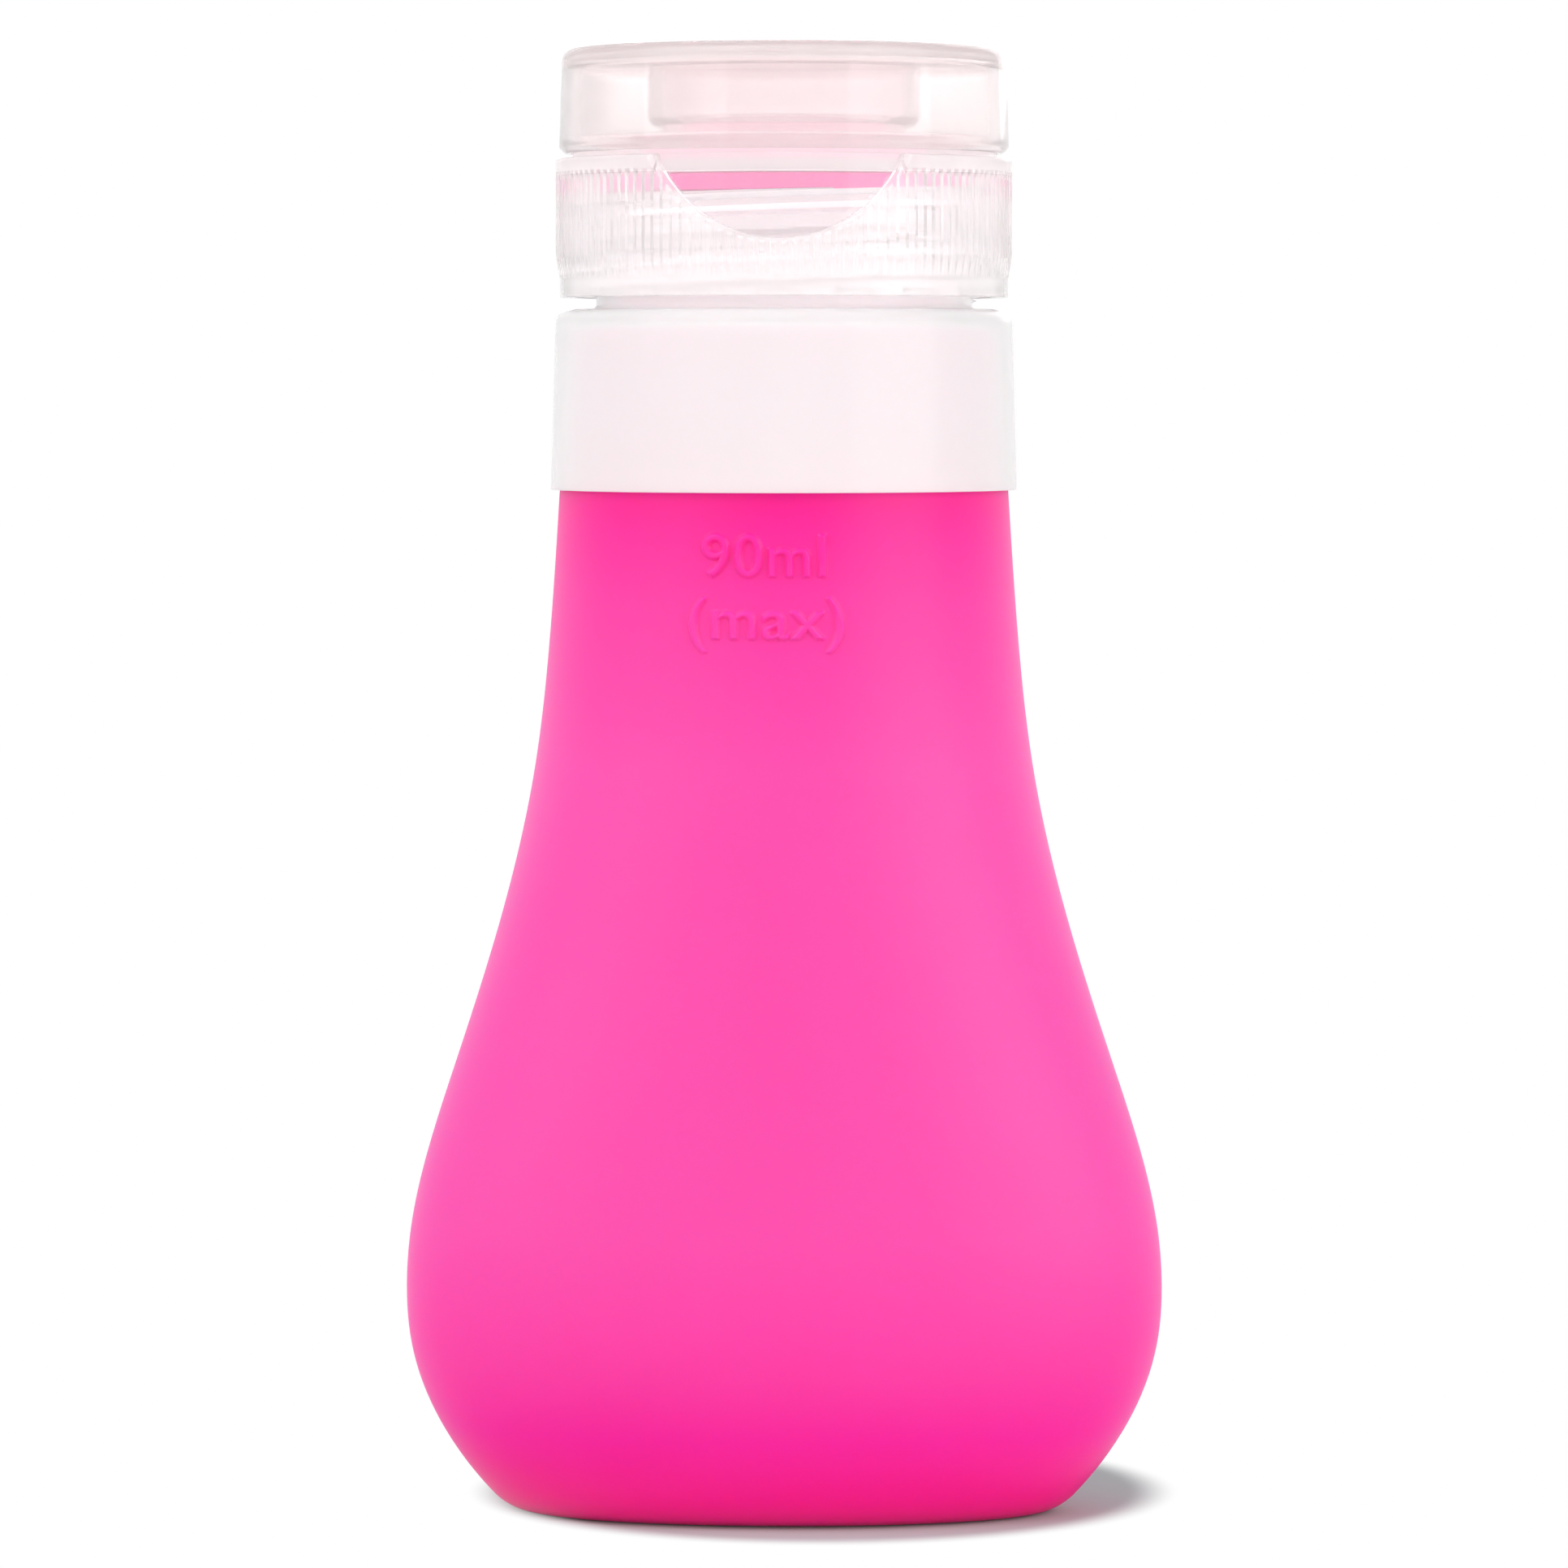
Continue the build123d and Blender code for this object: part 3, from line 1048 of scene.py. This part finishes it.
@dataclass
class ScrewCap:
    """The clear screw cap: ribbed skirt, thumb notch, boss, spout and inner thread."""

    levels: Heights
    radius: float = 18.63
    top: float = 111.1
    wall: float = 1.3
    band_radius: float = 18.3
    band_height: float = 1.4
    taper_height: float = 2.0
    rim_height: float = 1.1
    ribs: int = 132
    rib_depth: float = 0.3
    rib_fade: float = 0.55
    notch_border: float = 0.45
    boss_radius: float = 17.33
    boss_top: float = 112.83
    plate: float = 1.2
    land: float = 109.81
    spout_radius: float = 10.0
    spout_wall: float = 1.0
    orifice_radius: float = 8.3
    socket_radius: float = 11.6
    notch_radius: float = 10.95
    notch_drop: float = 6.74
    notch_floor: float = 17.9
    notch_corner: float = 0.3
    thread_front: float = 107.35
    thread_depth: float = 1.1
    thread_width: float = 1.2
    thread_turns: float = 1.5
    lugs: int = 18
    lug_width_share: float = 0.72
    lug_depth: float = 0.4
    lug_height: float = 0.6
    lug_edge: float = 0.25
    lug_squareness: int = 6
    row_step: float = 0.25
    hair: float = 0.02
    skin_reach: float = 0.2
    bore_reach: float = 0.05
    pad_height: float = 2.2
    follow_bottom: tuple[float, float] = (1.0, 2.0)
    follow_top: tuple[float, float] = (1.0, 0.3)
    ledge_slope: float = 0.35
    rib_offsets: tuple[float, ...] = (-0.5, -0.33, -0.29, -0.23, -0.19, 0.0, 0.19, 0.23, 0.29, 0.33)
    rib_cuts: tuple[float, ...] = (1.0, 1.0, 0.88, 0.12, 0.0, 0.0, 0.0, 0.12, 0.88, 1.0)

    def angles(self) -> Array:
        """Angles of the columns, on the corners of the ribs."""
        ribs = np.arange(self.ribs)[:, None] + 0.5 + np.array(self.rib_offsets)
        return ribs.ravel() * 2 * math.pi / self.ribs - math.pi

    def outline(self) -> Array:
        """Outlines the cap, before ribs and notch.

        Returns:
            Radius and height of each point.
        """
        bottom, spout_top = self.levels.cap_base
        band_top, rim = bottom + self.band_height, self.top - self.rim_height
        bore, inner = self.radius - self.wall, self.spout_radius - self.spout_wall
        underside = self.boss_top - self.plate
        corners = [
            Corner(self.band_radius, bottom, 0.15), Corner(self.band_radius, band_top, 0.2),
            Corner(self.radius, band_top + self.taper_height, 0.6),
            Corner(self.radius, rim - self.hair), Corner(self.radius, rim + self.hair),
            Corner(self.radius, (rim + self.top) / 2), Corner(self.radius, self.top, 0.2),
            Corner(self.boss_radius, self.top, 0.15), Corner(self.boss_radius, self.boss_top, 0.45),
            Corner(self.spout_radius, self.boss_top, 0.3), Corner(self.spout_radius, spout_top, 0.35),
            Corner(inner, spout_top, 0.35), Corner(inner, self.boss_top, 0.2),
            Corner(self.orifice_radius, self.boss_top, 0.2), Corner(self.orifice_radius, underside),
            Corner(self.socket_radius, underside), Corner(self.socket_radius, self.land, 0.15),
            Corner(bore, self.land, 0.2), Corner(bore, bottom, 0.2),
        ]
        return divided(rounded_outline(corners), self.row_step)

    def rib_cut(self, angle: Array, height: Array, from_notch: Array) -> Array:
        """How much of the rib depth is cut away, from 0 on a rib to 1 between ribs.

        The gaps run out under the rim, and the ribs end just short of the notch.

        Args:
            angle: Angle about the axis.
            height: Height in millimetres.
            from_notch: How far each point lies from the notch's edge.

        Returns:
            The share that is cut.
        """
        place = (angle + math.pi) * self.ribs / (2 * math.pi) % 1.0 - 0.5
        offsets, cuts = (*self.rib_offsets, 0.5), (*self.rib_cuts, self.rib_cuts[0])
        rim = self.top - self.rim_height
        below_rim = 1 - smoothstep(height, rim - self.rib_fade, rim)
        along = (height > self.levels.cap_base.low + self.band_height) * below_rim
        border = 1 - smoothstep(from_notch, self.notch_border / 2, self.notch_border)
        return np.maximum(np.interp(place, offsets, cuts) * along, border)

    def notch_level(self, angle: Array) -> Array:
        """Finds the height of the thumb notch's edge.

        Args:
            angle: Angle about the axis.

        Returns:
            The edge's height at each angle, above the cap's top where there is no notch.
        """
        centre = self.top - self.notch_drop + self.notch_radius
        across = np.abs(self.radius * np.cos(angle))
        drop = np.sqrt(np.maximum(0, self.notch_radius**2 - across**2))
        open_here = (across < self.notch_radius) & (np.sin(angle) < 0)
        return np.where(open_here, centre - drop, self.top + self.rim_height)

    def from_notch(self, angle: Array, height: Array) -> Array:
        """Distance of points on the skirt from the notch's round edge, all round the cap.

        Args:
            angle: Angle about the axis.
            height: Height in millimetres.

        Returns:
            The distances, negative inside the notch.
        """
        centre = self.top - self.notch_drop + self.notch_radius
        away = np.hypot(self.radius * np.cos(angle), height - centre) - self.notch_radius
        return np.where(np.sin(angle) < 0, away, self.radius)

    def rows_along_notch(self, height: Array, level: Array) -> Array:
        """Moves the skirt's rows so that the two at the rim run along the notch's edge.

        The row halfway up the rim goes to the sealing land, where the wall's finish changes.

        Args:
            height: Height in millimetres.
            level: Height of the notch's edge.

        Returns:
            The new heights.
        """
        base = self.levels.cap_base.low + self.band_height + self.taper_height
        rim = self.top - self.rim_height
        edge = np.where(level < self.top - self.notch_corner, level, rim)
        half = (rim + self.top) / 2
        middle = np.maximum(self.land - self.hair, edge + self.hair * 2)
        middle = np.where(edge > rim - self.hair, half, middle)
        low = base + (height - base) * (edge - base) / (rim - base)
        wall = edge + (height - rim) * (middle - edge) / (half - rim)
        above = middle + (height - half) * (self.top - middle) / (self.top - half)
        moved = np.where(height < rim, low, np.where(height < half, wall, above))
        moved = np.where(np.abs(height - rim) < 2 * self.hair, edge + height - rim, moved)
        return np.where(height > base, moved, height)

    def lug(self, angle: Array, rise: Array) -> Array:
        """Arched stop lugs inside the skirt's lower edge.

        Args:
            angle: Angle about the axis.
            rise: Height above the skirt's lower edge, in millimetres.

        Returns:
            1 on a lug and 0 between lugs.
        """
        place = (angle * self.lugs / (2 * math.pi)) % 1.0 * 2 - 1
        arch = 1 - np.abs(place / self.lug_width_share) ** self.lug_squareness
        return smoothstep(arch * self.lug_height - rise, -self.lug_edge / 2, self.lug_edge / 2)

    def shape(self, angle: Array, radius: Array, height: Array) -> tuple[Array, Array]:
        """Cuts the ribs and the notch, raises the hinge pad, the inner thread and the lugs.

        The rows inside follow the thread's slope across the front, so that it shows straight there.

        Args:
            angle: Angle about the axis.
            radius: Radius before shaping.
            height: Height in millimetres.

        Returns:
            The new radius and height.
        """
        bottom, bore = self.levels.cap_base.low, self.radius - self.wall
        outside = (radius > self.band_radius - self.skin_reach) & (height <= self.top)
        level = self.notch_level(angle)
        height = np.where(outside, self.rows_along_notch(height, level), height)
        over_root = np.maximum(radius - (self.radius - self.rib_depth), 0)
        ribbed = radius - over_root * self.rib_cut(angle, height, self.from_notch(angle, height))
        ribbed = np.where(height > level, np.minimum(ribbed, self.notch_floor), ribbed)
        shaped = HingePad(self.top - self.pad_height, self.top).raised(angle, ribbed, height)
        inside = (height < self.land - self.skin_reach) & (height > bottom + self.skin_reach)
        inside = inside & (np.abs(radius - bore) < self.bore_reach)
        thread = Thread(self.thread_front, self.thread_depth, width=self.thread_width,
                        turns=self.thread_turns)
        middle = smoothstep(height, *(bottom + rise for rise in self.follow_bottom))
        middle = middle * (1 - smoothstep(height, *(self.land - drop for drop in self.follow_top)))
        follow = thread.pitch / (2 * math.pi) * np.sin(angle + math.pi / 2) * middle
        height = np.where(inside, height + follow, height)
        threaded = bore - thread.ridge(angle, height) - self.lug_depth * self.lug(angle, height - bottom)
        return np.where(outside, shaped, np.where(inside, threaded, radius)), height

    def haze_by_thickness(self, cap: Object, palette: Palette) -> None:
        """Gives each kind of face its finish: thin walls are clear, thick ones hazy, and ledges and thread
        flanks get a whiter copy as painted glints.

        Args:
            cap: The cap.
            palette: The finishes.
        """
        faces = cap.data.polygons
        centres, normals = np.empty(len(faces) * 3), np.empty(len(faces) * 3)
        faces.foreach_get("center", centres)
        faces.foreach_get("normal", normals)
        x, y, height = centres.reshape(-1, 3).T / MM
        radius = np.hypot(x, y)
        bore, root = self.radius - self.wall + self.hair, self.radius - self.rib_depth - self.hair
        ledge = (radius < bore) | ((y < 0) & (radius < root) & (height < self.top - self.rim_height))
        ledge = ledge & (height > self.levels.cap_base.low + self.band_height)
        ledge = ledge & (np.abs(normals.reshape(-1, 3)[:, 2]) > self.ledge_slope)
        thin = (height > self.notch_level(np.arctan2(y, x))) & (radius < self.notch_floor + self.hair)
        kinds = np.where(thin, CapFace.NOTCH.value, CapFace.SKIRT.value)
        # Ledges and thread flanks take the whiter copy: painted glints.
        kinds = np.where(ledge, CapFace.EDGE.value, kinds)
        kinds = np.where(height > self.land - self.hair, CapFace.PLATE.value, kinds)
        for material in (palette.thick, palette.edge, palette.thin):
            cap.data.materials.append(material)
        faces.foreach_set("material_index", kinds)
        cap.data.update()

    def dress(self, palette: Palette) -> list[Object]:
        """Builds and finishes the cap.

        Args:
            palette: The finishes.

        Returns:
            The cap.
        """
        cap = turned("screw_cap_skin", self.outline(), self.angles(), self.shape)
        finish_piece(cap, palette.hazy, Slot.CLEAR, Body.CAP, "cap_base")
        self.haze_by_thickness(cap, palette)
        return [cap]


@dataclass
class FlipLid:
    """The clear lid: flat roof, tapered skirt with a snap bead, and the plug ring."""

    levels: Heights
    bottom_radius: float = 18.35
    top_radius: float = 18.1
    wall: float = 0.8
    roof: float = 1.2
    corner: float = 1.2
    chamfer: float = 0.5
    bead_radius: float = 17.43
    bead_height: float = 0.5
    plug_inside: float = 10.15
    plug_wall: float = 0.95
    plug_bottom: float = 113.8
    plug_taper: float = 0.6
    pad_height: float = 2.2
    skin_reach: float = 0.05
    axis_gap: float = 0.02
    columns: int = 480
    row_step: float = 0.5

    def build(self) -> Object:
        """Turns the lid and raises its hinge pad.

        Returns:
            The lid.
        """
        low, high = self.levels.flip_lid
        roof = high - self.roof
        plug_outside = self.plug_inside + self.plug_wall
        corners = [
            Corner(self.axis_gap, high), Corner(self.top_radius, high, self.corner),
            Corner(self.bottom_radius, low + self.chamfer, 0.12),
            Corner(self.bottom_radius - self.chamfer, low, 0.1), Corner(self.bead_radius, low, 0.15),
            Corner(self.bead_radius, low + self.bead_height, 0.2),
            Corner(self.bottom_radius - self.wall, low + 2 * self.bead_height, 0.2),
            Corner(self.top_radius - self.wall, roof, 0.8), Corner(plug_outside, roof, 0.3),
            Corner(plug_outside, self.plug_bottom + self.plug_taper, 0.2),
            Corner(plug_outside - self.plug_wall / 2, self.plug_bottom, 0.15),
            Corner(self.plug_inside, self.plug_bottom, 0.15), Corner(self.plug_inside, roof, 0.3),
            Corner(self.axis_gap, roof),
        ]
        outline = divided(rounded_outline(corners, steps=7), self.row_step, closed=False)
        pad = HingePad(low, low + self.pad_height)

        def raise_pad(angle: Array, radius: Array, height: Array) -> tuple[Array, Array]:
            """Lifts the skirt's outside by the hinge pad."""
            outside = radius > self.bottom_radius - self.chamfer - self.skin_reach
            return np.where(outside, pad.raised(angle, radius, height), radius), height

        return turned("flip_lid_skin", outline, even_angles(self.columns), raise_pad, closed=False)

    def dress(self, palette: Palette) -> list[Object]:
        """Builds and finishes the lid.

        Args:
            palette: The finishes.

        Returns:
            The lid.
        """
        lid = finish_piece(self.build(), palette.clear, Slot.CLEAR, Body.LID, "flip_lid")
        # The roof finish carries a painted pink blush of light from the valve below.
        for material in (palette.roof, palette.thin):
            lid.data.materials.append(material)
        roof = (self.levels.flip_lid.high - self.roof - self.corner / 2) * MM
        ring = (self.plug_inside + 2 * self.plug_wall) * MM
        for face in lid.data.polygons:
            kind = LidFace.RING if face.center.xy.length < ring else LidFace.SKIRT
            face.material_index = (LidFace.ROOF if face.center.z > roof else kind).value
        return [lid]


@dataclass
class FilmHinge:
    """The thin strip that bends between cap and lid."""

    levels: Heights
    face: float = 18.73
    film: float = 0.35
    groove: float = 0.15
    width: float = 8.0
    gap: float = 0.4
    rows: int = 13

    def build(self) -> Object:
        """Makes the strip from level loops, closer together along its bending line.

        Returns:
            The strip.
        """
        low, high = self.levels.living_hinge
        middle = (low + high) / 2
        bend = np.linspace(middle - self.gap / 2, middle + self.gap / 2, self.rows)
        heights = sorted({*np.linspace(low, high, self.rows), *bend})
        rings = []
        for z in heights:
            thin = self.groove * max(0.0, 1 - abs(z - middle) / (self.gap / 2))
            inner, outer, half = self.face + thin, self.face + self.film, self.width / 2
            rings.append([(-half, inner, z), (half, inner, z), (half, outer, z), (-half, outer, z)])
        return mesh_from_rings("film_hinge_strip", np.array(rings) * MM, closed=False)

    def dress(self, palette: Palette) -> list[Object]:
        """Builds the strip between cap and lid, in the clear finish.

        Args:
            palette: The finishes.

        Returns:
            The strip.
        """
        strip = self.build()
        strip.data.materials.append(palette.clear)
        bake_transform(strip)
        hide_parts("living_hinge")
        return [strip]


@dataclass
class DripValve:
    """The silicone valve under the spout and the ring that holds it up."""

    levels: Heights
    flange_radius: float = 11.5
    flange: float = 0.8
    sleeve_radius: float = 8.2
    sleeve_wall: float = 0.9
    dish: float = 0.9
    dish_rows: int = 12
    axis_share: float = 0.01
    skin: float = 0.5
    slit_length: float = 7.0
    slit_width: float = 0.12
    ring_bore: float = 8.4
    ring_radius: float = 11.55
    ring_chamfer: float = 0.25
    columns: int = 160

    def build_valve(self) -> Object:
        """Turns the valve, flange, sleeve and dished head, and slits it crosswise.

        Returns:
            The valve.
        """
        low, head = self.levels.drip_valve
        inside = self.sleeve_radius - self.sleeve_wall
        flange_top = low + self.flange
        bowl = [(inside * s, head - self.dish * (1 - s * s))
                for s in np.linspace(1, self.axis_share, self.dish_rows)]
        top = [Corner(r, z) for r, z in reversed(bowl)]
        under = [Corner(r, z - self.skin) for r, z in bowl]
        corners = top + [
            Corner(self.sleeve_radius, head, 0.3), Corner(self.sleeve_radius, flange_top, 0.15),
            Corner(self.flange_radius, flange_top, 0.15), Corner(self.flange_radius, low, 0.15),
            Corner(inside, low, 0.15),
        ] + under
        valve = turned("drip_valve_skin", rounded_outline(corners), even_angles(self.columns), closed=False)
        cut_away(valve, [self.slit_cutter(turn) for turn in (0.0, math.pi / 2)])
        return valve

    def slit_cutter(self, turn: float) -> Object:
        """Makes the blade of one slit.

        Args:
            turn: The slit's angle about the axis.

        Returns:
            A thin box through the valve's head.
        """
        head = self.levels.drip_valve.high
        low, high = head - self.dish - 2 * self.skin, head + self.skin
        half, thin = self.slit_length / 2, self.slit_width / 2
        ring = [(half, thin), (-half, thin), (-half, -thin), (half, -thin)]
        cos, sin = math.cos(turn), math.sin(turn)
        rings = np.array([[(x * cos - y * sin, x * sin + y * cos, z) for x, y in ring]
                          for z in (low, high)]) * MM
        return mesh_from_rings("slit_blade", rings, closed=False)

    def build_ring(self) -> Object:
        """Turns the snap ring.

        Returns:
            The ring.
        """
        low, high = self.levels.valve_retainer
        corners = [
            Corner(self.ring_bore, high, 0.1), Corner(self.ring_bore, low, 0.1),
            Corner(self.ring_radius - self.ring_chamfer, low, 0.05),
            Corner(self.ring_radius, low + self.ring_chamfer, 0.05), Corner(self.ring_radius, high, 0.05),
        ]
        return turned("valve_retainer_skin", rounded_outline(corners, steps=3), even_angles(self.columns))

    def dress(self, palette: Palette) -> list[Object]:
        """Builds and finishes the valve and its ring.

        Args:
            palette: The finishes.

        Returns:
            The valve and the ring.
        """
        valve, ring = self.build_valve(), self.build_ring()
        finish_piece(valve, palette.silicone, Slot.SILICONE, Body.CAP, "drip_valve")
        finish_piece(ring, palette.clear, Slot.CLEAR, Body.CAP_LIFT, "valve_retainer")
        return [valve, ring]


class Lamp(NamedTuple):
    """A soft square lamp: its name, place and side in millimetres, and power in watts."""

    name: str
    place: tuple[float, float, float]
    side: float
    power: float


@dataclass
class Studio:
    """White sweep, soft lamps and the camera. Distances are millimetres."""

    image_size: float = 1932.0
    focal_pixels: float = 9022.0
    horizon_row: float = 455.0
    camera_distance: float = 600.0
    camera_height: float = 93.97
    camera_turn: float = 1.3
    sensor: float = 36.0
    near_clip: float = 10.0
    floor_half: float = 1500.0
    paper: str = "#dadada"
    # Within a disc around the bottle the camera sees this darker, faintly teal paper: painted shade laid
    # where the bottle's shadow falls, tinted to cancel the pink light the bottle throws on it; the lamps'
    # own shadow darkens it further.
    paper_seen: str = "#aebebc"
    # Within the disc, reflections see the floor dark grey: painted shade that dulls the sheen on the
    # bottle's foot.
    paper_in_gloss: str = "#404040"
    paper_lift: float = 0.02
    # Middle and edges of that disc of painted shade, placed to fit the shadow.
    fade_middle: tuple[float, float, float] = (3.0, 11.0, 0.0)
    fade_start: float = 25.4
    fade_end: float = 30.0
    room_light: float = 0.58
    lamp_aim: float = 60.0
    lamps: tuple[Lamp, ...] = (
        Lamp("key_lamp", (-650.0, -520.0, 560.0), 900.0, 6.6),
        Lamp("side_lamp", (760.0, -480.0, 300.0), 800.0, 5.9),
        Lamp("back_lamp", (150.0, 700.0, 420.0), 600.0, 0.9),
    )

    def set_view(self) -> None:
        """Keeps colours as they are written."""
        bpy.context.scene.view_settings.view_transform = "Standard"

    def place_camera(self) -> None:
        """Stands the camera as far off and as high as the picture's outlines say."""
        tilt = math.atan((self.image_size / 2 - self.horizon_row) / self.focal_pixels)
        turn = math.radians(self.camera_turn)
        data = bpy.data.cameras.new("camera")
        data.sensor_width = self.sensor
        data.lens = self.sensor * self.focal_pixels / self.image_size
        data.clip_start = self.near_clip * MM
        camera = add_object("camera", data)
        camera.location = (self.camera_distance * MM * math.sin(turn),
                           -self.camera_distance * MM * math.cos(turn), self.camera_height * MM)
        camera.rotation_euler = (math.pi / 2 - tilt, 0, turn)
        bpy.context.scene.camera = camera

    def add_lamp(self, lamp: Lamp) -> None:
        """Adds a lamp that faces the bottle.

        Args:
            lamp: The lamp.
        """
        data = bpy.data.lights.new(lamp.name, "AREA")
        data.size = lamp.side * MM
        data.energy = lamp.power
        stand = add_object(lamp.name, data)
        stand.location = Vector(lamp.place) * MM
        aim = Vector((0, 0, self.lamp_aim * MM)) - stand.location
        stand.rotation_euler = aim.to_track_quat("-Z", "Y").to_euler()

    def seen_directly(self, tree: NodeTree) -> NodeSocket:
        """Tells rays from the camera, from gloss and through clear parts from the rest.

        Args:
            tree: The node tree.

        Returns:
            A socket that is 1 for those rays and 0 for the rest.
        """
        path = add_node(tree, "LightPath").outputs
        answer = path["Is Camera Ray"]
        for kind in ("Is Glossy Ray", "Is Transmission Ray"):
            answer = add_node(tree, "Math", {0: answer, 1: path[kind]}, operation="MAXIMUM").outputs[0]
        return answer

    def build_world(self) -> None:
        """Fills the room with soft light, and shows it white in sight, gloss and clear parts."""
        world = bpy.data.worlds.new("white_room")
        bpy.context.scene.world = world
        world.use_nodes = True
        tree = world.node_tree
        tree.nodes.clear()
        white = linear(WHITE)
        room = add_node(tree, "Background", {"Color": white, "Strength": self.room_light})
        shown = add_node(tree, "Background", {"Color": white, "Strength": 1.0})
        mix = add_node(tree, "MixShader",
                       {0: self.seen_directly(tree), 1: room.outputs[0], 2: shown.outputs[0]})
        add_node(tree, "OutputWorld", {"Surface": mix.outputs[0]})

    def floor_material(self) -> Material:
        """White paper that keeps the bottle's shadow and fades to pure white further off. Near the bottle
        it carries painted shade: the camera sees a darker, teal-tinted paper there and reflections a dark
        grey one.

        Returns:
            The material.
        """
        material, tree, output = new_material("white_sweep")
        white = linear(WHITE)
        path = add_node(tree, "LightPath")
        # Painted shade: darker paper in reflections, and darker teal paper for the camera near the bottle.
        tone = add_node(tree, "Mix",
                        {MIX_SHARE: path.outputs["Is Glossy Ray"], MIX_FIRST: linear(self.paper),
                         MIX_SECOND: linear(self.paper_in_gloss)},
                        data_type="RGBA")
        shade = add_node(tree, "Mix",
                         {MIX_SHARE: path.outputs["Is Camera Ray"],
                          MIX_FIRST: tone.outputs[MIX_RESULT], MIX_SECOND: linear(self.paper_seen)},
                         data_type="RGBA")
        paper = add_node(tree, "BsdfDiffuse", {"Color": shade.outputs[MIX_RESULT]})
        lift = add_node(tree, "Math", {0: path.outputs["Is Camera Ray"], 1: self.paper_lift},
                        operation="MULTIPLY")
        glow = add_node(tree, "Emission", {"Color": white, "Strength": lift.outputs[0]})
        near = add_node(tree, "AddShader", {0: paper.outputs[0], 1: glow.outputs[0]})
        shown = add_node(tree, "Emission", {"Color": white, "Strength": 1.0})
        far = add_node(tree, "MixShader",
                       {0: self.seen_directly(tree), 1: near.outputs[0], 2: shown.outputs[0]})
        place = add_node(tree, "NewGeometry").outputs["Position"]
        middle = tuple(value * MM for value in self.fade_middle)
        away = add_node(tree, "VectorMath", {0: place, 1: middle}, operation="DISTANCE")
        fade = add_node(tree, "MapRange",
                        {"Value": away.outputs["Value"], "From Min": self.fade_start * MM,
                         "From Max": self.fade_end * MM}, interpolation_type="SMOOTHSTEP")
        mix = add_node(tree, "MixShader",
                       {0: fade.outputs["Result"], 1: near.outputs[0], 2: far.outputs[0]})
        tree.links.new(mix.outputs[0], output.inputs["Surface"])
        return material

    def build_floor(self) -> None:
        """Lays the floor."""
        half = self.floor_half * MM
        corners = [(-half, -half, 0), (half, -half, 0), (half, half, 0), (-half, half, 0)]
        mesh = bpy.data.meshes.new("floor")
        mesh.from_pydata(corners, [], [(0, 1, 2, 3)])
        mesh.materials.append(self.floor_material())
        add_object("floor", mesh)

    def build(self) -> None:
        """Sets the view, the camera, the room, the floor and the lamps."""
        self.set_view()
        self.place_camera()
        self.build_world()
        self.build_floor()
        for lamp in self.lamps:
            self.add_lamp(lamp)


def main() -> None:
    """Builds the studio and the bottle, piece by piece."""
    logging.basicConfig(level=logging.INFO)
    levels = Heights.from_frame()
    Studio().build()
    palette = Palette.make()
    for part in (SqueezeBody(levels, FillMark()), NeckCollar(levels), ScrewCap(levels), FlipLid(levels),
                 FilmHinge(levels), DripValve(levels)):
        for piece in part.dress(palette):
            log.info("%s: built %s", type(part).__name__, piece.name)


if __name__ == "__main__":
    main()
